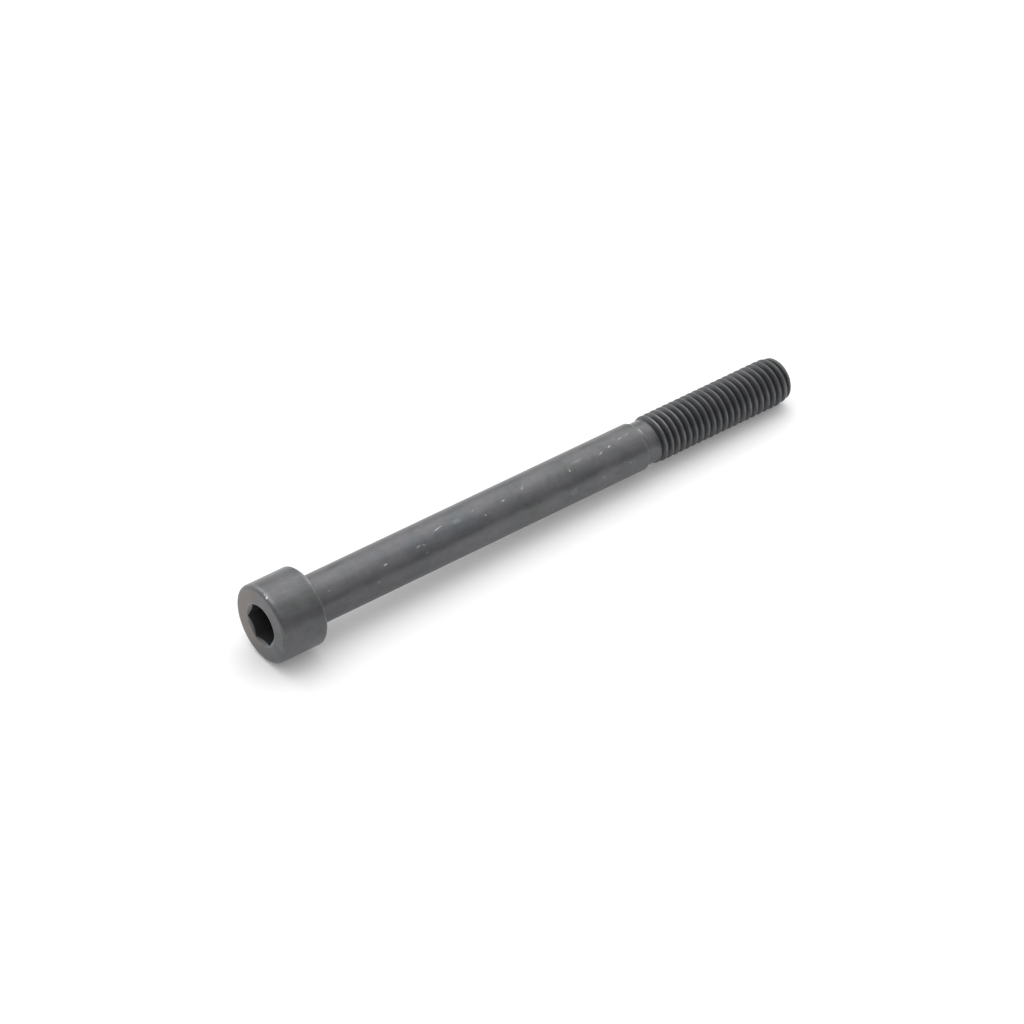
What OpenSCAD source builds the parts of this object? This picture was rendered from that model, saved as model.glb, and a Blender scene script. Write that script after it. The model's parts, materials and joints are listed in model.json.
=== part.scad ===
// Hex socket cap screw, M8 x 95, part-threaded, lying as it rests on a flat surface.
// Lengths are in millimetres and angles in degrees.
// The screw is drawn upright on its own axis, with the bearing face at height 0, the head
// below and the tip above, and is then laid down: the head points to -X, the tip to +X.

/* [Head] */
// Diameter of the cylindrical head
head_d = 13; // [12.7:0.05:14]
// Height of the head, from its flat top to the bearing face
head_h = 8; // [7.7:0.05:9]
// Radius that rounds the edge of the flat top
head_edge_r = 0.6; // [0.3:0.05:1.2]
// Chamfer round the rim of the bearing face
bearing_chamfer = 0.33; // [0.1:0.01:0.6]
// Radius of the fillet between the bearing face and the shank
fillet_r = 0.4; // [0.2:0.05:0.6]

/* [Socket] */
// Width of the hexagon across its flats, for a 6 mm key
socket_af = 6.05; // [5.6:0.05:6.3]
// Depth of the full hexagon below the flat top
socket_depth = 4.4; // [4.2:0.05:5]
// Depth of the shallow cone left by the punch at the bottom
socket_cone_h = 0.5; // [0.1:0.05:0.8]
// Diameter of the countersink where it meets the flat top
socket_mouth_d = 7.2; // [7:0.05:8]
// Slope of the countersink below the flat top
socket_mouth_slope = 30; // [25:1:50]

/* [Shank] */
// Diameter of the plain shank
shank_d = 8; // [7.8:0.05:8.2]
// Length of the plain shank, from the bearing face to its far shoulder
shank_len = 65; // [40:0.5:75]
// Height of the shoulder's chamfer, measured along the axis
shoulder_h = 0.3; // [0.1:0.05:0.6]

/* [Thread] */
// Length of the screw below the head
screw_len = 95; // [85:1:120]
// Diameter over the thread crests
thread_d = 7.94; // [7.76:0.01:7.98]
// Pitch of the right-hand thread
pitch = 1.25; // [1:0.25:1.25]
// Diameter of the rolled blank that shows between the shoulder and the thread
blank_d = 7.2; // [7:0.05:7.4]
// Bare length of blank between the shoulder and the first groove
neck_len = 1.3; // [1:0.1:4]
// Length over which the grooves and crests grow out of the blank
run_in = 0.8; // [0.5:0.05:3]
// Length over which the last crests grow lower, towards the end face
lead_len = 2.2; // [1.2:0.1:4]
// Diameter that the lowered crests have come down to at the end face
lead_d = 7; // [6.6:0.05:7.5]
// Diameter of the flat end face, inside its 45 degree chamfer
tip_d = 6.3; // [5:0.05:6.5]
// Distance from the end face to the crest in line with a socket corner
last_crest = 1.1; // [0.9:0.05:1.5]

/* [Rest] */
// Roll of the lying screw about its axis, from a socket corner that points straight down
roll = 22.5; // [-30:0.5:30]

/* [Hidden] */
$fn = 96;

oxide_black = "#45474a";
thread_sides = 40;
bury = 0.3;
beyond = 1;

head_r = head_d / 2;
shank_r = shank_d / 2;
thread_r = thread_d / 2;
lead_r = lead_d / 2;
blank_r = blank_d / 2;
tip_r = tip_d / 2;
flat_r = socket_af / 2;
mouth_r = socket_mouth_d / 2;
punch_r = 0.96 * flat_r;

// Basic thread triangle: crest flat of P/8, 30 degree flanks, root rounded to 17/24 of H
triangle_h = pitch * cos(30);
crest_half = pitch / 16;
flank_end = pitch * 3 / 8;
flank_drop = triangle_h * 5 / 8;
root_drop = triangle_h * 17 / 24;

// One pitch of the thread, as [height above the crest's middle, depth below the crest]
profile = [
    [-crest_half, 0],
    [crest_half, 0],
    [flank_end, flank_drop],
    [pitch / 2, root_drop],
    [pitch - flank_end, flank_drop]
];
steps = len(profile);

// Heights on the axis
shoulder_r = blank_r + (shank_r - blank_r) / 4;
thread_from = shank_len - bury;
groove_from = shank_len + neck_len;
crest_at = screw_len - last_crest;

// Last crest of full height on the underside, before the lead and the chamfer lower it
full_to = screw_len - max(lead_len, thread_r - tip_r);
under_at = crest_at - pitch * roll / 360;
lowest_crest = under_at + pitch * (ceil((full_to + crest_half - under_at) / pitch) - 1);

// Tilt of the lying screw: it rests on the head's bearing rim and on that crest
rest_run = min(lowest_crest + crest_half, full_to) + bearing_chamfer;
tilt = atan((head_r - thread_r) / rest_run);
axis_z = head_r * cos(tilt) - bearing_chamfer * sin(tilt);

// Ends of the lying screw, which put the origin under the middle of its length
head_end = -(head_h - head_edge_r) * cos(tilt) - (head_r - head_edge_r) * sin(tilt) - head_edge_r;
tip_end = screw_len * cos(tilt) + tip_r * sin(tilt);
middle_x = (head_end + tip_end) / 2;

// Height of thread row j on column i: rows climb by one pitch a turn, from a pitch too low
first_turn = floor((thread_from - crest_at) / pitch) - 1;
rows = steps * (ceil((screw_len - crest_at) / pitch) + 1 - first_turn);
function row_z(i, j) =
    crest_at + pitch * (first_turn + floor(j / steps) + i / thread_sides) + profile[j % steps][0];

// Radius at a height: the profile grows out of the blank, and the lead and the chamfer cut it
function grown(z) = min(1, max(0, (z - groove_from) / run_in));
function lead(z) = lead_r + (thread_r - lead_r) * (screw_len - z) / lead_len;
function chamfer(z) = tip_r + screw_len - z;
function row_r(z, drop) =
    min(blank_r + (thread_r - drop - blank_r) * grown(z), lead(z), chamfer(z));

// Each column is clipped at both end faces, where the rows beyond it fall together
function first_row(i, j = 0) = row_z(i, j + 1) > thread_from ? j : first_row(i, j + 1);
function last_row(i, j = 0) = row_z(i, j) >= screw_len ? j : last_row(i, j + 1);
columns = [for (i = [0 : thread_sides - 1]) [first_row(i), last_row(i)]];

// Number of the point in row j of column i: past the last column the helix is a turn higher
function kept(j, limits) = max(limits[0], min(limits[1], j));
function point_no(i, j) =
    i < thread_sides
        ? i * (rows + 1) + kept(j, columns[i])
        : kept(j + steps, columns[0]);

function thread_point(i, j) =
    let (
        z = min(screw_len, max(thread_from, row_z(i, j))),
        r = row_r(z, profile[j % steps][1]),
        angle = 360 * i / thread_sides
    )
    [r * cos(angle), r * sin(angle), z];

function is_open(t) = t[0] != t[1] && t[1] != t[2] && t[2] != t[0];

// Turned blank: head, fillet, shank and shoulder as one outline, swept about the axis
module blank_outline() {
    polygon([
        [0, -head_h],
        [head_r - head_edge_r, -head_h],
        [head_r, head_edge_r - head_h],
        [head_r, -bearing_chamfer],
        [head_r - bearing_chamfer, 0],
        [shank_r, 0],
        [shank_r, shank_len - shoulder_h],
        [shoulder_r, shank_len],
        [0, shank_len]
    ]);
    translate([head_r - head_edge_r, head_edge_r - head_h]) circle(head_edge_r);
    difference() {
        translate([shank_r - bury, 0]) square([fillet_r + bury, fillet_r]);
        translate([shank_r + fillet_r, fillet_r]) circle(fillet_r);
    }
}

// Neck, helical thread and coned tip as one closed skin
module threaded_end() {
    points = [
        for (i = [0 : thread_sides - 1])
            for (j = [0 : rows])
                thread_point(i, j)
    ];
    skin = [
        for (i = [0 : thread_sides - 1])
            for (j = [0 : rows - 1])
                let (
                    a = point_no(i, j),
                    b = point_no(i, j + 1),
                    c = point_no(i + 1, j + 1),
                    d = point_no(i + 1, j)
                )
                each [for (t = [[a, b, c], [a, c, d]]) if (is_open(t)) t]
    ];
    buried_end = [for (i = [0 : thread_sides - 1]) point_no(i, 0)];
    tip_face = [for (i = [thread_sides - 1 : -1 : 0]) point_no(i, rows)];
    polyhedron(points, concat(skin, [buried_end, tip_face]));
}

// Hexagonal recess with its countersunk mouth and the punch's shallow cone
module socket() {
    mouth_inner_r = flat_r - beyond / 2;
    mouth_rise = beyond / 2;
    mouth_outer_r = mouth_r + mouth_rise / tan(socket_mouth_slope);
    mouth_h = (mouth_outer_r - mouth_inner_r) * tan(socket_mouth_slope);
    translate([0, 0, -head_h - beyond])
        cylinder(h = socket_depth + beyond, r = flat_r / cos(30), $fn = 6);
    translate([0, 0, -head_h - mouth_rise])
        cylinder(h = mouth_h, r1 = mouth_outer_r, r2 = mouth_inner_r);
    translate([0, 0, socket_depth - head_h - beyond / 2])
        cylinder(h = beyond / 2, r = punch_r);
    translate([0, 0, socket_depth - head_h])
        cylinder(h = socket_cone_h, r1 = punch_r, r2 = 0);
}

module lay_down() {
    translate([-middle_x, 0, axis_z]) rotate([0, 90 + tilt, 0]) rotate([0, 0, roll]) children();
}

module cap_screw() {
    color(oxide_black)
        lay_down()
            difference() {
                union() {
                    rotate_extrude() blank_outline();
                    threaded_end();
                }
                socket();
            }
}

cap_screw();
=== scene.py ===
import json
import math
import bpy
import numpy as np
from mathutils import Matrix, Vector


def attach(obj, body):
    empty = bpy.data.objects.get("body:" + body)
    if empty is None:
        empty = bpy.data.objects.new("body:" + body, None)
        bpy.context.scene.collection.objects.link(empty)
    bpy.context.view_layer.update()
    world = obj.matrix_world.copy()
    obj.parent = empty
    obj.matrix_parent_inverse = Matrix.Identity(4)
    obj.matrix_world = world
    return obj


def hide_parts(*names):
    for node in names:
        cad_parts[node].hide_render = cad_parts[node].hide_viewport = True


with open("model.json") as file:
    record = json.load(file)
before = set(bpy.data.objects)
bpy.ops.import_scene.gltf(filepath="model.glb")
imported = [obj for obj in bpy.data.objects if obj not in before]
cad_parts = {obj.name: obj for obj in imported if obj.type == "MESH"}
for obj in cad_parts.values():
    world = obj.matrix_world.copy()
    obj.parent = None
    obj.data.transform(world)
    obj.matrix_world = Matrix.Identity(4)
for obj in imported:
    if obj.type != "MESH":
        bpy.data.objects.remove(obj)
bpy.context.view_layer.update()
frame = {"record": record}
print("frame loaded")

mounts = {m["name"]: m for m in frame["record"]["mounts"]}
mm = 0.001
hair = 0.01   # mm: places closer than this count as one

# The screw in mm along its own axis: 0 is the bearing face, the head lies below it and the tip above
screw = {
    "headRadius": 6.5,
    "headHeight": 8.0,
    "headEdge": 0.6,            # rounding of the flat top's edge
    "bearingChamfer": 0.33,
    "underFillet": 0.4,
    "acrossFlats": 6.05,
    "socketDepth": 4.4,
    "punchRadius": 2.904,
    "punchCone": 0.5,
    "mouthRadius": 3.6,
    "mouthSlope": 30.0,         # degrees below the flat top
    "shankRadius": 4.0,
    "shankLength": 65.0,
    "shoulder": 0.3,            # height of its chamfer
    "shoulderRest": 0.25,       # share of the step down to the blank that is left after the chamfer
    "shoulderFoot": 0.1,        # past the shoulder, where its cone meets the blank
    "blankRadius": 3.6,
    "neckLength": 1.9,
    "runIn": 0.9,               # stretch over which the first groove grows in
    "threadRadius": 3.97,
    "pitch": 1.25,
    "length": 95.0,
    "leadLength": 2.2,          # stretch over which the last crests grow lower
    "leadRadius": 3.5,
    "tipRadius": 3.15,
    "lastCrest": 1.1,           # from the end face, in line with a socket corner
    "roll": 22.5,               # degrees from a socket corner that points straight down
    # thread form, as shares of the pitch and of the basic triangle's height
    "flank": 30.0,              # degrees
    "crestFlat": 1 / 16,        # half of it
    "rootDepth": 17 / 24,
    "rootRound": 1 / 6,
    # softened corners, in mm
    "crestRound": 0.035,
    "tipRound": 0.04,
    "socketSoft": (0, 0.2, 0.12, 0.05, 0.06, 0),
    "rimSoft": (0, 0.1, 0.1, 0),
    "shoulderSoft": (0, 0.1, 0.1, 0.05, 0),
    "endSoft": (0.03, 0.02),    # in from the chamfer, back from the end face
    "crestLift": 0.06,          # share of crestRound by which the softened crest is lifted again
    "cornerLift": 0.1,          # the same for tipRound
    "mostSetback": 0.45,        # share of a side that a softened corner may take
    "holdAt": 0.5,              # row beyond a softened corner, in setbacks
    "mostHold": 0.04,           # the greatest share of a side that it lies away
    # rows and columns of the skin, in mm
    "columns": 168,
    "softSteps": 5,
    "edgeSteps": 13,
    "filletSteps": 7,
    "headStep": 0.3,
    "rimRows": (-1.0, -0.8),    # closer rows beside the bearing rim
    "shankStep": 1.0,
    "endStep": 0.35,            # from the last row of the shank to the shoulder
    "turnedTo": 0.4,            # past the shoulder: last row of the turned part
    "threadedFrom": 0.45,       # and first row of the threaded one
    "endRows": (0.09, 0.16, 1.65),   # on the end face, in from the tip's radius
    "poleRadius": 0.02,
    # rows of the thread over one pitch, in pitches from the crest's middle
    "phases": (-0.0625, -0.035, 0.035, 0.0625, 0.16, 0.26, 0.345, 0.40,
               0.45, 0.5, 0.55, 0.60, 0.655, 0.74, 0.84),
}

axis = Vector(mounts["shank"]["axis"]).normalized()
mouth = Vector(mounts["hex_socket"]["pos_m"])
bearing = mouth + axis * screw["headHeight"] * mm
sideways = Vector((0, 1, 0))
down = sideways.cross(axis).normalized()
tilt = math.atan2(-axis.z, axis.x)


def columnAngles(count):
    # angle of each column in degrees from a socket corner: 360 i / count
    return 360.0 * np.arange(count) / count


def placed(radius, height, angle):
    # bearing + height * axis + radius * (cos(a) * down + sin(a) * sideways), with a = angle + roll
    turn = np.radians(angle + screw["roll"])
    out = np.multiply.outer(height, np.array(axis))
    out = out + np.multiply.outer(radius * np.cos(turn), np.array(down))
    out = out + np.multiply.outer(radius * np.sin(turn), np.array(sideways))
    return np.array(bearing) + out * mm


def ring(radius, height, count):
    # one row of the profile: the same radius and height at each column
    return np.array([np.full(count, float(radius)), np.full(count, float(height))])


def roundedProfile(corners, setbacks, s):
    # each corner B becomes a curve (1-t)^2 P + 2t(1-t) B + t^2 Q, with P and Q a setback away on its
    # two sides, and a row just beyond each of them holds the flat faces flat
    rows = [corners[0]]
    for k in range(1, len(corners) - 1):
        before, here, after = corners[k - 1], corners[k], corners[k + 1]
        toBefore, toAfter = before - here, after - here
        shareBefore = setbacks[k] / np.hypot(toBefore[0], toBefore[1])
        shareAfter = setbacks[k] / np.hypot(toAfter[0], toAfter[1])
        start = here + toBefore * np.minimum(shareBefore, s["mostSetback"])
        end = here + toAfter * np.minimum(shareAfter, s["mostSetback"])
        rows.append(start + toBefore * np.minimum(shareBefore * s["holdAt"], s["mostHold"]))
        for t in np.linspace(0, 1, s["softSteps"]):
            rows.append((1 - t) ** 2 * start + 2 * t * (1 - t) * here + t * t * end)
        rows.append(end + toAfter * np.minimum(shareAfter * s["holdAt"], s["mostHold"]))
    rows.append(corners[-1])
    return rows


def arcRows(centreRadius, centreHeight, size, fromDeg, toDeg, steps, count):
    # circle in the profile plane: radius = cr + s cos(a), height = ch + s sin(a)
    return [ring(centreRadius + size * math.cos(a), centreHeight + size * math.sin(a), count)
            for a in np.radians(np.linspace(fromDeg, toDeg, steps))]


def turnedRows(s):
    # profile from the socket's floor, over the head, to the neck, as rows of [radius, height] per column;
    # the hexagon's wall lies at flat / cos(angle from the flat's middle), and its top on the mouth's cone
    n = s["columns"]
    fromFlat = np.radians((columnAngles(n) % 60) - 30)
    hexRadius = s["acrossFlats"] / 2 / np.cos(fromFlat)
    top = -s["headHeight"]
    floor = top + s["socketDepth"]
    wallTop = top + (s["mouthRadius"] - hexRadius) * math.tan(math.radians(s["mouthSlope"]))
    edge, chamfer, fillet = s["headEdge"], s["bearingChamfer"], s["underFillet"]
    rows = roundedProfile([
        ring(s["poleRadius"], floor + s["punchCone"], n),
        ring(s["punchRadius"], floor, n),
        np.array([hexRadius, np.full(n, floor)]),
        np.array([hexRadius, wallTop]),
        ring(s["mouthRadius"], top, n),
        ring(s["mouthRadius"] + s["headStep"], top, n),
    ], s["socketSoft"], s)
    step = s["headStep"]
    flatFrom, flatTo = s["mouthRadius"] + 2 * step, s["headRadius"] - edge - step / 2
    rows += [ring(r, top, n) for r in np.arange(flatFrom, flatTo, step)]
    rows += arcRows(s["headRadius"] - edge, top + edge, edge, -90, 0, s["edgeSteps"], n)
    sideFrom, sideTo = top + edge + step, s["rimRows"][0] - step / 2
    rows += [ring(s["headRadius"], h, n) for h in np.arange(sideFrom, sideTo, step)]
    rows += [ring(s["headRadius"], h, n) for h in s["rimRows"]]
    rows += roundedProfile([
        rows[-1],
        ring(s["headRadius"], -chamfer, n),
        ring(s["headRadius"] - chamfer, 0, n),
        ring(s["shankRadius"] + fillet + step, 0, n),
    ], s["rimSoft"], s)[1:]
    rows += arcRows(s["shankRadius"] + fillet, fillet, fillet, 270, 180, s["filletSteps"], n)
    step = s["shankStep"]
    shankEnd = s["shankLength"] - s["shoulder"]
    rows += [ring(s["shankRadius"], h, n) for h in np.arange(fillet + step, shankEnd - step, step)]
    rows.append(ring(s["shankRadius"], shankEnd - s["endStep"], n))
    shoulderRadius = s["blankRadius"] + (s["shankRadius"] - s["blankRadius"]) * s["shoulderRest"]
    rows += roundedProfile([
        rows[-1],
        ring(s["shankRadius"], shankEnd, n),
        ring(shoulderRadius, s["shankLength"], n),
        ring(s["blankRadius"], s["shankLength"] + s["shoulderFoot"], n),
        ring(s["blankRadius"], s["shankLength"] + s["turnedTo"], n),
    ], s["shoulderSoft"], s)[1:]
    return np.array(rows)


def tallTriangle(s):
    # height of the thread's basic triangle: pitch * cos(30), for flanks of 30 degrees
    return s["pitch"] * math.cos(math.radians(s["flank"]))


def threadDrop(phase, s):
    # depth below the crest: straight flanks, the crest's corners softened by (f + sqrt(f^2 + round^2)) / 2,
    # and the root closed by a circle that touches both flanks
    across = np.abs(((phase + 0.5) % 1.0) - 0.5) * s["pitch"]
    tall = tallTriangle(s)
    angle = math.radians(s["flank"])
    flank = (across - s["pitch"] * s["crestFlat"]) / math.tan(angle)
    soft = 0.5 * (flank + np.sqrt(flank ** 2 + s["crestRound"] ** 2)) - s["crestRound"] * s["crestLift"]
    rootRound = tall * s["rootRound"]
    fromRoot = s["pitch"] / 2 - across
    inRoot = fromRoot < rootRound * math.cos(angle)
    bowl = tall * s["rootDepth"] - rootRound + np.sqrt(np.maximum(rootRound ** 2 - fromRoot ** 2, 0))
    return np.where(inRoot, bowl, soft)


def threadGrid(s, startHeight):
    # sheared grid: height = last crest + pitch * (turn + phase + angle / 360), one row for each phase of a
    # turn, from a turn below the start to past the end face
    steps = len(s["phases"])
    crestAt = s["length"] - s["lastCrest"]
    firstTurn = math.floor((startHeight - crestAt) / s["pitch"]) - 1
    turns = math.ceil((s["length"] - crestAt) / s["pitch"]) + 1 - firstTurn
    row = np.arange(turns * steps + 1)
    phase = np.array(s["phases"])[row % steps]
    turn = firstTurn + (row // steps)[:, None] + phase[:, None] + columnAngles(s["columns"])[None, :] / 360
    return crestAt + s["pitch"] * turn, threadDrop(phase, s)[:, None]


def softMin(first, second, s):
    # (a + b - sqrt((a - b)^2 + round^2)) / 2, a minimum with a rounded corner, lifted a little
    size = s["tipRound"]
    return 0.5 * (first + second - np.sqrt((first - second) ** 2 + size ** 2)) + size * s["cornerLift"]


def threadGrown(height, s):
    # smoothstep 3t^2 - 2t^3 over the run-in
    t = np.clip((height - s["shankLength"] - s["neckLength"]) / s["runIn"], 0, 1)
    return t * t * (3 - 2 * t)


def threadRadius(height, drop, s):
    # blank + (crest - drop - blank) * grown, lowered by the lead's slope and cut by the 45 degree chamfer
    full = s["blankRadius"] + (s["threadRadius"] - drop - s["blankRadius"]) * threadGrown(height, s)
    toEnd = s["length"] - height
    lead = s["leadRadius"] + (s["threadRadius"] - s["leadRadius"]) * toEnd / s["leadLength"]
    return softMin(softMin(full, lead, s), s["tipRadius"] + toEnd, s)


def quads(rowA, rowB):
    # quads between two rows of point numbers, closed round the screw
    nextA, nextB = np.roll(rowA, -1, axis=-1), np.roll(rowB, -1, axis=-1)
    return np.stack([rowA, nextA, nextB, rowB], axis=-1).reshape(-1, 4)


def buildScrew(s):
    # one skin: rows for the turned part, a sheared grid for the thread, rows for the end face and a fan at
    # each pole; grid rows beyond either end of the thread fall together there, and their faces are left out
    n = s["columns"]
    angle = columnAngles(n)
    turned = turnedRows(s)
    startHeight = s["shankLength"] + s["threadedFrom"]
    height, drop = threadGrid(s, startHeight)
    first = (height <= startHeight).sum(axis=0) - 1
    last = (height < s["length"]).sum(axis=0)
    clipped = np.clip(height, startHeight, s["length"])
    radius = threadRadius(clipped, drop, s)
    atEnd = height >= s["length"]
    inward, back = s["endSoft"]
    radius = np.where(atEnd, s["tipRadius"] - inward, radius)
    clipped = np.where(atEnd, s["length"] - back, clipped)
    endRadii = [s["tipRadius"] - d for d in s["endRows"]] + [s["poleRadius"]]
    end = np.array([ring(r, s["length"], n) for r in endRadii])
    allRadius = np.concatenate([turned[:, 0], radius, end[:, 0]])
    allHeight = np.concatenate([turned[:, 1], clipped, end[:, 1]])
    allAngle = np.broadcast_to(angle, allRadius.shape)
    points = placed(allRadius, allHeight, allAngle).reshape(-1, 3)

    # past the last column the helix goes on in the first one, a whole turn of rows higher
    turnedCount, gridCount, steps = len(turned), len(height), len(s["phases"])
    number = np.arange(len(allRadius) * n).reshape(-1, n)
    kept = np.clip(np.arange(gridCount)[:, None], first[None, :], last[None, :])
    grid = (turnedCount + kept) * n + np.arange(n)[None, :]
    seam = (turnedCount + np.clip(np.arange(gridCount) + steps, first[0], last[0])) * n
    wide = np.concatenate([grid, seam[:, None]], axis=1)
    a, b = wide[:-1, :-1].ravel(), wide[:-1, 1:].ravel()
    c, d = wide[1:, 1:].ravel(), wide[1:, :-1].ravel()
    tris = np.concatenate([np.stack([a, b, c], 1), np.stack([a, c, d], 1)])
    tris = tris[(tris[:, 0] != tris[:, 1]) & (tris[:, 1] != tris[:, 2]) & (tris[:, 2] != tris[:, 0])]

    endNumber = number[turnedCount + gridCount:]
    corners = np.concatenate([
        quads(number[:turnedCount - 1], number[1:turnedCount]),
        quads(number[turnedCount - 1], grid[0]),
        quads(grid[-1], endNumber[0]),
        quads(endNumber[:-1], endNumber[1:]),
    ])
    poleHeights = np.array([turned[0, 1, 0], s["length"]])
    poleA, poleB = len(points), len(points) + 1
    points = np.concatenate([points, placed(np.zeros(2), poleHeights, np.zeros(2))])
    ringA, ringB = number[0], endNumber[-1]
    fanA = np.stack([np.roll(ringA, -1), ringA, np.full(n, poleA)], 1)
    fanB = np.stack([ringB, np.roll(ringB, -1), np.full(n, poleB)], 1)
    faces = np.concatenate([corners[:, [0, 1, 2]], corners[:, [0, 2, 3]], tris, fanA, fanB])

    used, inverse = np.unique(faces, return_inverse=True)
    profile = {
        "radius": np.append(allRadius.ravel(), [0, 0])[used],
        "height": np.append(allHeight.ravel(), poleHeights)[used],
        "angle": np.append(allAngle.ravel(), [0, 0])[used],
    }
    return points[used], inverse.reshape(-1, 3), profile


def meshObject(name, points, faces):
    # triangles from points and corner numbers, shaded smooth
    mesh = bpy.data.meshes.new(name)
    mesh.vertices.add(len(points))
    mesh.vertices.foreach_set("co", points.astype(np.float32).ravel())
    mesh.loops.add(faces.size)
    mesh.loops.foreach_set("vertex_index", faces.astype(np.int32).ravel())
    mesh.polygons.add(len(faces))
    mesh.polygons.foreach_set("loop_start", np.arange(0, faces.size, 3, dtype=np.int32))
    mesh.polygons.foreach_set("use_smooth", np.ones(len(faces), dtype=bool))
    mesh.update(calc_edges=True)
    mesh.validate()
    piece = bpy.data.objects.new(name, mesh)
    bpy.context.collection.objects.link(piece)
    return piece


# Where the black finish has rubbed thin, per edge, with painted highlights on a few of them: its place in
# the profile as
# [radius, height] in mm, how far it reaches, how strong it is, and the side it faces, in degrees from the
# top towards +Y
wearAndHighlights = {
    "headTop": {"at": (6.38, -7.75), "reach": 0.28, "amount": 0.16, "side": 0, "spread": 360},
    # painted highlight: a streak of light along the upper side of the head's rounded edge, in the worn
    # colour
    "headTopHighlight": {"at": (6.48, -7.42), "reach": 0.42, "amount": 0.42, "side": 4, "spread": 56},
    "headTopLow": {"at": (6.20, -7.95), "reach": 0.60, "amount": 0.46, "side": 130, "spread": 100},
    "mouthEdge": {"at": (3.60, -8.0), "reach": 0.16, "amount": 0.32, "side": 0, "spread": 360},
    # wear on the bearing rim, with a painted highlight on one side
    "bearingRim": {"at": (6.40, -0.36), "reach": 0.24, "amount": 0.42, "side": -20, "spread": 36},
    "bearingRimAll": {"at": (6.42, -0.33), "reach": 0.17, "amount": 0.28, "side": 0, "spread": 360},
    # wear on the shoulder, with a painted highlight on one side
    "shoulder": {"at": (3.84, 65.0), "reach": 0.26, "amount": 3.0, "side": -15, "spread": 20},
    "shoulderAll": {"at": (4.0, 64.75), "reach": 0.15, "amount": 0.42, "side": 0, "spread": 360},
    # the neck lighter on its upper side: wear, and painted sheen
    "neck": {"at": (3.6, 65.4), "reach": 0.7, "amount": 0.24, "side": 22, "spread": 70},
    "tipEdge": {"at": (3.2, 94.9), "reach": 0.20, "amount": 0.34, "side": 0, "spread": 360},
}
crestWearAndHighlight = {
    "depth": 0.11,              # mm below the crest that the wear reaches
    "amount": 0.12,
    # on the first crests: wear, and painted highlights on one side
    "nearNeck": 0.55,           # added over the first crests, on one side
    "neckReach": 6.0,
    "side": -25,
    "spread": 80,
}
# Brown cast made lighter as painted light on the face, and painted shade darkening the face, the head's
# side and the shank near the head: the side where each is strongest, its spread in degrees, its amount
brownCastAndPaintedShade = {
    # a brown cast on part of the face, made lighter as painted light
    "brownCastAndPaintedLightFace": (100, 150, 1.0),
    # painted shade on the other part of the face
    "paintedShadeFace": (-70, 100, 1.0),
    # painted shade on one side of the head
    "paintedShadeSide": (-78, 62, 0.6),
    # painted shadow along one side of the shank near the head
    "paintedShadowShank": (-92, 64, 1.0),
    "shankFade": (10.0, 34.0),  # mm along: where the painted shadow strip starts to fade, and where it is gone
}


def fromTop(profile, s):
    # degrees round the screw from the top towards +Y: 180 - angle - roll
    return 180 - profile["angle"] - s["roll"]


def facing(around, side, spread):
    # raised cosine that falls to 0 at the spread's ends, or 1 all round
    if spread >= 360:
        return np.ones_like(around)
    off = np.abs((around - side + 180) % 360 - 180)
    return np.where(off < spread, 0.5 + 0.5 * np.cos(np.pi * off / spread), 0)


def wearAndHighlightShare(profile, s):
    # sum over the edges of amount * exp(-(distance / reach)^2) * facing, and on the thread the height up
    # the crest * (amount + nearNeck * exp(-(way past the neck / reach)^2) * facing)
    around = fromTop(profile, s)
    total = np.zeros_like(around)
    for edge in wearAndHighlights.values():
        gap = np.hypot(profile["radius"] - edge["at"][0], profile["height"] - edge["at"][1])
        faced = facing(around, edge["side"], edge["spread"])
        total += edge["amount"] * np.exp(-(gap / edge["reach"]) ** 2) * faced
    c = crestWearAndHighlight
    pastNeck = profile["height"] - s["shankLength"] - s["neckLength"]
    upCrest = np.clip(1 - (s["threadRadius"] - profile["radius"]) / c["depth"], 0, 1)
    nearNeck = np.exp(-(pastNeck / c["neckReach"]) ** 2) * facing(around, c["side"], c["spread"])
    return total + (pastNeck > 0) * upCrest * (c["amount"] + c["nearNeck"] * nearNeck)


def grooveShare(profile, s):
    # depth below the crest as a share of the full thread depth, growing in with the run-in
    deep = (s["threadRadius"] - profile["radius"]) / (tallTriangle(s) * s["rootDepth"])
    onThread = profile["height"] < s["length"] - hair
    return np.clip(deep, 0, 1) * threadGrown(profile["height"], s) * onThread


def socketOilAndShadeShare(profile, s):
    # 0 at the mouth, 1 from 1 mm down inside the hexagon
    inside = profile["radius"] < s["acrossFlats"] / math.sqrt(3) + hair
    return np.clip(profile["height"] + s["headHeight"], 0, 1) * inside * (profile["height"] < 0)


def brownCastAndPaintedShadeShare(profile, s):
    # above 0 the finish has a brown cast made lighter as painted light, below 0 it is darkened as painted
    # shade, on the head and fading out along the shank
    around = fromTop(profile, s)
    height = profile["height"]
    onFace = height < 2 * hair - s["headHeight"]
    onSide = (height < 0) & ~onFace
    brownCastAndPaintedLightFace, paintedShadeFace, paintedShadeSide, paintedShadowShank = [
        facing(around, side, spread) * amount
        for side, spread, amount in (brownCastAndPaintedShade[k] for k in ("brownCastAndPaintedLightFace", "paintedShadeFace", "paintedShadeSide", "paintedShadowShank"))]
    fadeFrom, fadeTo = brownCastAndPaintedShade["shankFade"]
    fade = np.clip((fadeTo - height) / (fadeTo - fadeFrom), 0, 1) * (height > 0)
    return onFace * (brownCastAndPaintedLightFace - paintedShadeFace) - onSide * paintedShadeSide - fade * paintedShadowShank


def setShare(piece, name, values):
    # one value at each vertex, which the finish reads by its name
    layer = piece.data.attributes.new(name, "FLOAT", "POINT")
    layer.data.foreach_set("value", values.astype(np.float32))


points, faces, profile = buildScrew(screw)
capScrew = meshObject("capScrew", points, faces)
setShare(capScrew, "wearAndHighlights", wearAndHighlightShare(profile, screw))
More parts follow.
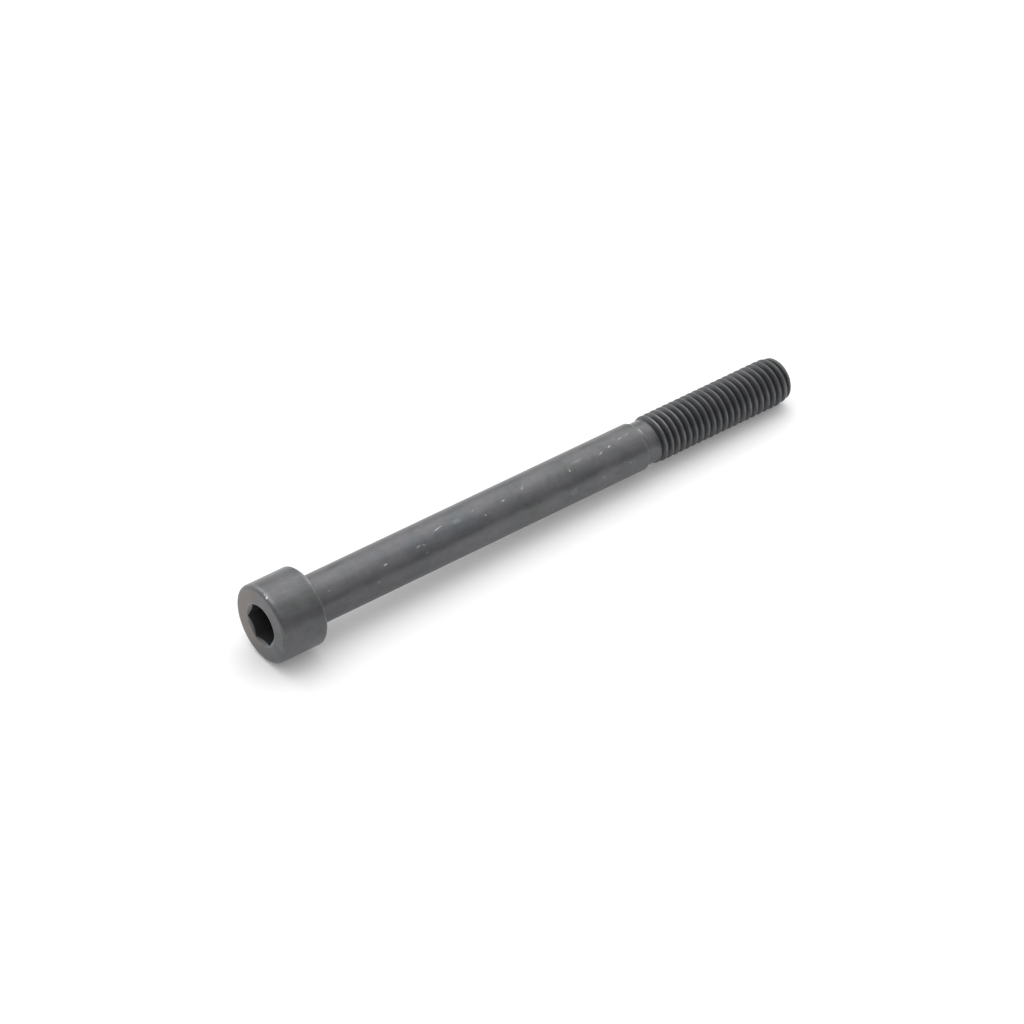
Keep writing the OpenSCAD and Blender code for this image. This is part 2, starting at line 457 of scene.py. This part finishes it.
# oil and soot, and painted shade, deeper in the thread's grooves
setShare(capScrew, "groove", grooveShare(profile, screw))
setShare(capScrew, "socket", socketOilAndShadeShare(profile, screw))
# a brown cast with painted light, and painted shade on the head and on the shank near the head
setShare(capScrew, "brownCastAndPaintedShade", brownCastAndPaintedShadeShare(profile, screw))
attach(capScrew, "root")
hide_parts("cap_screw")
print("screw:", len(faces), "triangles")


# Camera, as the photograph was taken; its place is in mm from the middle of the bearing face
view = {
    "place": (-282.16, -415.16, 448.30),
    "azimuth": 52.175,          # degrees from +X towards +Y
    "below": 40.622,            # degrees below level
    "lens": 155.3,
    "sensor": 36,
    "clip": (0.01, 10),         # metres
}


def addCamera(v):
    # looks along (cos b cos a, cos b sin a, -sin b), without roll
    a, b = math.radians(v["azimuth"]), math.radians(v["below"])
    forward = Vector((math.cos(b) * math.cos(a), math.cos(b) * math.sin(a), -math.sin(b)))
    data = bpy.data.cameras.new("camera")
    data.lens = v["lens"]
    data.sensor_width = v["sensor"]
    data.clip_start, data.clip_end = v["clip"]
    camera = bpy.data.objects.new("camera", data)
    camera.location = bearing + Vector(v["place"]) * mm
    camera.rotation_mode = "QUATERNION"
    camera.rotation_quaternion = forward.to_track_quat("-Z", "Y")
    bpy.context.collection.objects.link(camera)
    bpy.context.scene.camera = camera


addCamera(view)
print("camera set")


def newMaterial(name):
    # an empty node tree to fill
    material = bpy.data.materials.new(name)
    material.use_nodes = True
    tree = material.node_tree
    tree.nodes.clear()
    return material, tree


def feed(tree, socket, value):
    # an output is linked to the socket, a plain value is set on it
    if isinstance(value, bpy.types.NodeSocket):
        tree.links.new(value, socket)
    else:
        socket.default_value = value


def calc(tree, operation, first, second):
    # the operation on two numbers
    node = tree.nodes.new("ShaderNodeMath")
    node.operation = operation
    feed(tree, node.inputs[0], first)
    feed(tree, node.inputs[1], second)
    return node.outputs[0]


def ramp(tree, value, low, high, toLow=0.0, toHigh=1.0):
    # smoothstep of the value from low to high, scaled to the two given levels
    node = tree.nodes.new("ShaderNodeMapRange")
    node.interpolation_type = "SMOOTHSTEP"
    for name, given in (("From Min", low), ("From Max", high), ("To Min", toLow), ("To Max", toHigh)):
        node.inputs[name].default_value = given
    feed(tree, node.inputs["Value"], value)
    return node.outputs["Result"]


mixSockets = {"RGBA": (6, 7, 2), "FLOAT": (2, 3, 0)}   # of a Mix node: first, second, result


def blend(tree, share, first, second, kind="RGBA"):
    # first + (second - first) * share
    a, b, result = mixSockets[kind]
    node = tree.nodes.new("ShaderNodeMix")
    node.data_type = kind
    feed(tree, node.inputs[0], share)
    feed(tree, node.inputs[a], first)
    feed(tree, node.inputs[b], second)
    return node.outputs[result]


def mapped(tree, place, location, rotation, scale, kind="TEXTURE"):
    # TEXTURE: the place less the location, turned back, over the scale; POINT: scaled, turned, moved
    node = tree.nodes.new("ShaderNodeMapping")
    node.vector_type = kind
    node.inputs["Location"].default_value = location
    node.inputs["Rotation"].default_value = rotation
    node.inputs["Scale"].default_value = scale
    tree.links.new(place, node.inputs["Vector"])
    return node.outputs["Vector"]


def blots(tree, place, size, detail, rough, squeeze):
    # noise with blots of about the given size in mm, drawn out along the screw by 1 / squeeze
    if squeeze != 1:
        drawnOut = tree.nodes.new("ShaderNodeVectorMath")
        drawnOut.operation = "MULTIPLY"
        drawnOut.inputs[1].default_value = (squeeze, 1, 1)
        tree.links.new(place, drawnOut.inputs[0])
        place = drawnOut.outputs["Vector"]
    node = tree.nodes.new("ShaderNodeTexNoise")
    node.inputs["Scale"].default_value = 1 / size
    node.inputs["Detail"].default_value = detail
    node.inputs["Roughness"].default_value = rough
    tree.links.new(place, node.inputs["Vector"])
    return node.outputs["Fac"]


def shareOf(tree, name):
    # the value that setShare gave each vertex
    node = tree.nodes.new("ShaderNodeAttribute")
    node.attribute_name = name
    return node.outputs["Fac"]


def scaledBy(tree, colour, level):
    # colour * level
    node = tree.nodes.new("ShaderNodeVectorMath")
    node.operation = "SCALE"
    tree.links.new(colour, node.inputs[0])
    tree.links.new(level, node.inputs["Scale"])
    return node.outputs["Vector"]


# Black oxide over steel; colours are linear, sizes in mm
oxide = {
    "blue": (0.106, 0.113, 0.121, 1),
    "plain": (0.115, 0.114, 0.120, 1),
    "green": (0.105, 0.110, 0.109, 1),
    # brown cast, lighter than the skin as painted light
    "brownCastAndPaintedLight": (0.150, 0.134, 0.123, 1),
    "groove": (0.044, 0.046, 0.048, 1),   # oil and soot left in the grooves, and painted shade in them
    # darker inside the hexagon: oil, and painted shade in the recess
    "socket": (0.070, 0.071, 0.073, 1),
    "wornAndHighlight": (0.262, 0.263, 0.268, 1),     # rubbed thin, and painted highlights on a few edges
    "wornBrown": (0.330, 0.270, 0.225, 1),
    "bareSteelAndGlint": (0.62, 0.62, 0.63, 1),
    # noise: size of its blots, detail, roughness, squeeze along the screw (under 1 draws it out)
    "noise": {
        "wave": (4.2, 1.0, 0.5, 1),
        "patch": (4.2, 3.0, 0.6, 0.8),    # cloudy patches in the skin
        "mottle": (1.1, 4.0, 0.62, 1),
        "grain": (0.11, 2.0, 0.5, 1),
        "drawn": (0.28, 2.0, 0.5, 0.06),  # fine lines along the screw
        "tint": (9.0, 2.0, 0.5, 1),
        "rub": (0.33, 2.0, 0.5, 1),
    },
    "span": (0.3, 0.7),         # noise values at which a level is at its low and its high end
    "levels": {"mottle": (0.94, 1.06), "drawn": (0.965, 1.035), "patch": (0.90, 1.10)},
    "relief": {"wave": 0.14, "mottle": 0.006, "grain": 0.0022, "drawn": 0.0015},   # heights in mm
    "tintSpan": (0.36, 0.56),   # noise values between which one tint passes into the next
    "grooveSpan": (0.42, 1.0),  # depths between which the groove's colour comes in
    "brokenness": 1.5,          # how much the rubbing comes and goes
    "deepestPaintedShade": 0.80,            # level of the deepest painted shade
    "metallic": 0.65,
    "roughness": (0.30, 0.40),
    "grooveRoughness": 0.5,
    "wornRoughness": 0.32,
    "steelRoughness": 0.30,
}

# Single marks on the shank and head: mm along, degrees round from the top, half length and half width
# in mm, slant in degrees from the axis, strength; those at the head's edge and at the shoulder also paint a
# glint
marksAndGlints = [
    # a nick on the head's rounded edge, and a painted glint there
    (-7.7, -12, 0.20, 0.15, 20, 1.0),
    (-7.7, -7, 0.15, 0.15, 0, 0.3),
    (3, -40, 0.25, 0.15, 0, 0.25),
    (11.5, -71, 0.25, 0.15, 0, 0.2),
    (13.5, -42, 0.45, 0.18, 6, 0.7),
    (20, -37, 0.50, 0.15, 12, 0.3),
    (21, -39, 0.40, 0.10, -30, 0.25),
    (21, -58, 0.35, 0.10, 5, 0.2),
    (24.5, -19, 1.05, 0.06, 10, 0.6),
    (28, -22, 1.10, 0.50, 0, 0.08),
    (31.5, -16, 0.20, 0.15, 0, 0.2),
    (33, -38, 0.20, 0.15, 30, 0.4),
    (37, -26, 0.35, 0.12, 0, 0.6),
    (41, -18, 0.35, 0.07, 55, 0.6),
    (41.5, -13, 1.00, 0.05, 55, 0.2),
    (49.5, -76, 0.75, 0.05, 20, 0.3),
    (49.5, -82, 0.75, 0.05, 20, 0.25),
    (49.5, -88, 0.75, 0.05, 20, 0.2),
    (49, -83, 0.50, 0.05, -60, 0.2),
    (50, -83, 0.50, 0.05, -60, 0.2),
    (50, -30, 0.15, 0.22, 0, 0.6),
    (50, -26, 0.10, 0.45, 0, 0.25),
    (52, -16, 1.20, 0.40, 0, 0.08),
    (55.5, -78, 0.25, 0.12, 10, 0.3),
    (56.5, -24, 0.55, 0.16, 20, 0.35),
    (58.5, -18, 0.50, 0.13, 18, 0.45),
    (61, -11, 0.60, 0.10, 12, 0.25),
    (62.5, -9, 0.50, 0.10, 8, 0.2),
    (61, -74, 0.40, 0.15, -10, 0.15),
    # a worn mark on the shoulder, and a painted glint there
    (65, -14, 0.25, 0.35, 0, 0.35),
]
markEdge = (0.3, 1.15)   # in half sizes from a mark's middle: where it starts to fade, and where it is gone
# Small specks and fine scratches all over: sizes in mm, slants in degrees, share of the pattern's cells
# that stay empty, strength, and a shift in mm that keeps the two patterns of scratches apart
speckle = {"cell": 1.6, "size": 0.13, "empty": 0.93, "amount": 0.26}
scratches = [
    {"slant": 9, "long": 0.9, "wide": 0.035, "empty": 0.62, "amount": 0.28, "shift": (0, 0, 0)},
    {"slant": -38, "long": 0.6, "wide": 0.035, "empty": 0.80, "amount": 0.32, "shift": (7.3, 1.9, 0)},
]
scratchShare = 0.09   # half size of a scratch as a share of its cell


def ownPlace(tree):
    # object coordinates turned and moved into the screw's own frame, in mm: x along, y sideways, z up
    place = tree.nodes.new("ShaderNodeTexCoord").outputs["Object"]
    location = [-bearing.dot(v) / mm for v in (axis, sideways, -down)]
    return mapped(tree, place, location, (0, -tilt, 0), (1 / mm, 1 / mm, 1 / mm), "POINT")


def unrolled(tree, own):
    # (x, shank radius * angle round from the top, 0) in mm, with its seam on the underside
    parts = tree.nodes.new("ShaderNodeSeparateXYZ")
    tree.links.new(own, parts.inputs[0])
    angle = calc(tree, "ARCTAN2", parts.outputs["Y"], parts.outputs["Z"])
    flat = tree.nodes.new("ShaderNodeCombineXYZ")
    tree.links.new(parts.outputs["X"], flat.inputs["X"])
    tree.links.new(calc(tree, "MULTIPLY", angle, screw["shankRadius"]), flat.inputs["Y"])
    return flat.outputs["Vector"]


def markAndGlintShare(tree, flat, rough):
    # the strongest of all marks, each its strength within an ellipse: length of the place from the mark's
    # middle, turned by its slant and divided by its half sizes, made ragged by the rough noise
    found = None
    for along, around, halfLong, halfWide, slant, strength in marksAndGlints:
        middle = (along, math.radians(around) * screw["shankRadius"], 0)
        local = mapped(tree, flat, middle, (0, 0, math.radians(slant)), (halfLong, halfWide, 1))
        length = tree.nodes.new("ShaderNodeVectorMath")
        length.operation = "LENGTH"
        tree.links.new(local, length.inputs[0])
        ragged = calc(tree, "ADD", length.outputs["Value"], rough)
        inside = ramp(tree, ragged, *markEdge, strength, 0.0)
        found = inside if found is None else calc(tree, "MAXIMUM", found, inside)
    return found


def pickedCells(tree, place, scale, size, empty, amount):
    # balls round the points of a 3D Voronoi pattern, kept where the cell's own noise is above empty
    cells = tree.nodes.new("ShaderNodeTexVoronoi")
    cells.inputs["Scale"].default_value = scale
    tree.links.new(place, cells.inputs["Vector"])
    ball = ramp(tree, cells.outputs["Distance"], size / 2, size, amount, 0.0)
    pick = tree.nodes.new("ShaderNodeSeparateColor")
    tree.links.new(cells.outputs["Color"], pick.inputs[0])
    return calc(tree, "MULTIPLY", ball, calc(tree, "GREATER_THAN", pick.outputs[0], empty))


def fineMarks(tree, own):
    # small round specks, and fine scratches, which are the same balls in a space drawn out along a slant
    s = speckle
    found = pickedCells(tree, own, 1 / s["cell"], s["size"] / s["cell"], s["empty"], s["amount"])
    for line in scratches:
        long, wide = line["long"] / scratchShare, line["wide"] / scratchShare
        local = mapped(tree, own, line["shift"], (0, 0, math.radians(line["slant"])), (long, wide, wide))
        cut = pickedCells(tree, local, 1.0, scratchShare, line["empty"], line["amount"])
        found = calc(tree, "MAXIMUM", found, cut)
    return found


def oxideMaterial(o):
    # colour = tints * levels, with painted light and painted shade from the brown cast and shade share,
    # then the groove's and the socket's colour (oil and painted shade), the worn colour (wear and painted
    # highlights) and the marks' colour (marks and painted glints), each blended over the last by its share;
    # relief = sum of height * noise
    material, tree = newMaterial("blackOxide")
    own = ownPlace(tree)
    noise = {name: blots(tree, own, *given) for name, given in o["noise"].items()}
    inCastAndShade = shareOf(tree, "brownCastAndPaintedShade")
    brownCastAndPaintedLight = ramp(tree, inCastAndShade, 0.0, 1.0)
    tint = blend(tree, ramp(tree, noise["tint"], *o["tintSpan"]), o["green"], o["blue"])
    tint = blend(tree, ramp(tree, noise["patch"], *o["tintSpan"]), tint, o["plain"])
    # brown cast, lighter than the skin as painted light
    tint = blend(tree, brownCastAndPaintedLight, tint, o["brownCastAndPaintedLight"])
    # painted shade: darker on the head's face and side and on the shank near the head
    level = ramp(tree, inCastAndShade, -1.0, 0.0, o["deepestPaintedShade"], 1.0)
    for name, between in o["levels"].items():
        level = calc(tree, "MULTIPLY", ramp(tree, noise[name], *o["span"], *between), level)
    # oil and soot, and painted shade, deeper in the thread's grooves
    groove = ramp(tree, shareOf(tree, "groove"), *o["grooveSpan"])
    colour = blend(tree, groove, scaledBy(tree, tint, level), o["groove"])
    # darker inside the hexagon: oil, and painted shade in the recess
    inside = shareOf(tree, "socket")
    colour = blend(tree, inside, colour, o["socket"])

    # the rubbing comes and goes with uneven, a noise round 0
    uneven = calc(tree, "SUBTRACT", calc(tree, "ADD", noise["mottle"], noise["rub"]), 1.0)
    broken = calc(tree, "ADD", calc(tree, "MULTIPLY", uneven, o["brokenness"]), 1.0)
    # wear, and painted highlights on a few edges, in the worn colour
    rubbedAndHighlight = ramp(tree, calc(tree, "MULTIPLY", shareOf(tree, "wearAndHighlights"), broken), 0.0, 1.0)
    colour = blend(tree, rubbedAndHighlight, colour, blend(tree, brownCastAndPaintedLight, o["wornAndHighlight"], o["wornBrown"]))
    # bare steel at marks and scratches, and painted glints at the head's edge and the shoulder
    markedAndGlints = calc(tree, "MAXIMUM", markAndGlintShare(tree, unrolled(tree, own), uneven), fineMarks(tree, own))
    markedAndGlints = calc(tree, "MULTIPLY", markedAndGlints, calc(tree, "SUBTRACT", 1.0, inside))
    colour = blend(tree, markedAndGlints, colour, o["bareSteelAndGlint"])

    roughness = ramp(tree, noise["patch"], *o["span"], *o["roughness"])
    roughness = blend(tree, groove, roughness, o["grooveRoughness"], "FLOAT")
    roughness = blend(tree, rubbedAndHighlight, roughness, o["wornRoughness"], "FLOAT")
    roughness = blend(tree, markedAndGlints, roughness, o["steelRoughness"], "FLOAT")

    relief = 0.0
    for name, height in o["relief"].items():
        relief = calc(tree, "ADD", calc(tree, "MULTIPLY", noise[name], height), relief)
    bump = tree.nodes.new("ShaderNodeBump")
    bump.inputs["Distance"].default_value = mm
    tree.links.new(relief, bump.inputs["Height"])

    shader = tree.nodes.new("ShaderNodeBsdfPrincipled")
    shader.inputs["Metallic"].default_value = o["metallic"]
    tree.links.new(colour, shader.inputs["Base Color"])
    tree.links.new(roughness, shader.inputs["Roughness"])
    tree.links.new(bump.outputs["Normal"], shader.inputs["Normal"])
    out = tree.nodes.new("ShaderNodeOutputMaterial")
    tree.links.new(shader.outputs["BSDF"], out.inputs["Surface"])
    return material


capScrew.data.materials.append(oxideMaterial(oxide))
print("finish made")


# Floor and light, in metres and watts
studio = {
    "floorSize": 6.0,
    "floorColour": 0.9,
    "floorLift": 0.125,         # added where the floor is seen straight or in a reflection
    "roomLevel": 0.33,          # the dim side of the studio
    "skyLevel": 1.05,           # overhead, and over the far side of the table
    "brightSide": (0.38, 0.66, 0.65),
    "dimUntil": -0.38,          # share along the bright side at which the level starts to rise
    "brightFrom": 0.52,         # share at which it is full
    "keyPlace": (0.12, 0.32, 0.70),
    "keyTarget": (0, 0, 0),
    "keySize": (1.0, 1.0),
    "keyPower": 3.4,
}


def seenRays(tree):
    # 1 on camera, glossy and transmission rays, else 0
    rays = tree.nodes.new("ShaderNodeLightPath")
    found = rays.outputs["Is Camera Ray"]
    for name in ("Is Glossy Ray", "Is Transmission Ray"):
        found = calc(tree, "MAXIMUM", found, rays.outputs[name])
    return found


def addFloor(s):
    # z = 0 over a square; its light is what it reflects, plus the lift on seen rays
    half = s["floorSize"] / 2
    corners = np.array([[-1, -1, 0], [1, -1, 0], [1, 1, 0], [-1, 1, 0]]) * half
    mesh = bpy.data.meshes.new("floor")
    mesh.from_pydata(corners.tolist(), [], [(0, 1, 2, 3)])
    floor = bpy.data.objects.new("floor", mesh)
    bpy.context.collection.objects.link(floor)
    material, tree = newMaterial("floorWhite")
    out = tree.nodes.new("ShaderNodeOutputMaterial")
    paper = tree.nodes.new("ShaderNodeBsdfDiffuse")
    paper.inputs["Color"].default_value = (*[s["floorColour"]] * 3, 1)
    lift = tree.nodes.new("ShaderNodeEmission")
    both = tree.nodes.new("ShaderNodeAddShader")
    tree.links.new(calc(tree, "MULTIPLY", seenRays(tree), s["floorLift"]), lift.inputs["Strength"])
    tree.links.new(paper.outputs["BSDF"], both.inputs[0])
    tree.links.new(lift.outputs["Emission"], both.inputs[1])
    tree.links.new(both.outputs[0], out.inputs["Surface"])
    mesh.materials.append(material)


def addWorld(s):
    # level = room + (sky - room) * smoothstep of the direction's share along the bright side
    world = bpy.data.worlds.new("world")
    bpy.context.scene.world = world
    world.use_nodes = True
    tree = world.node_tree
    tree.nodes.clear()
    out = tree.nodes.new("ShaderNodeOutputWorld")
    place = tree.nodes.new("ShaderNodeTexCoord")
    share = tree.nodes.new("ShaderNodeVectorMath")
    share.operation = "DOT_PRODUCT"
    share.inputs[1].default_value = s["brightSide"]
    tree.links.new(place.outputs["Generated"], share.inputs[0])
    lit = tree.nodes.new("ShaderNodeBackground")
    limits = [s[k] for k in ("dimUntil", "brightFrom", "roomLevel", "skyLevel")]
    tree.links.new(ramp(tree, share.outputs["Value"], *limits), lit.inputs["Strength"])
    lit.inputs["Color"].default_value = (1, 1, 1, 1)
    tree.links.new(lit.outputs["Background"], out.inputs["Surface"])


def addArea(name, place, target, size, power):
    # rectangular lamp at the place, turned to face the target
    data = bpy.data.lights.new(name, "AREA")
    data.shape = "RECTANGLE"
    data.size, data.size_y = size
    data.energy = power
    lamp = bpy.data.objects.new(name, data)
    lamp.location = place
    lamp.rotation_mode = "QUATERNION"
    lamp.rotation_quaternion = (Vector(target) - Vector(place)).to_track_quat("-Z", "Y")
    bpy.context.collection.objects.link(lamp)


addFloor(studio)
addWorld(studio)
addArea("topSoftbox", *[studio[k] for k in ("keyPlace", "keyTarget", "keySize", "keyPower")])
bpy.context.scene.view_settings.view_transform = "Standard"
print("studio made")
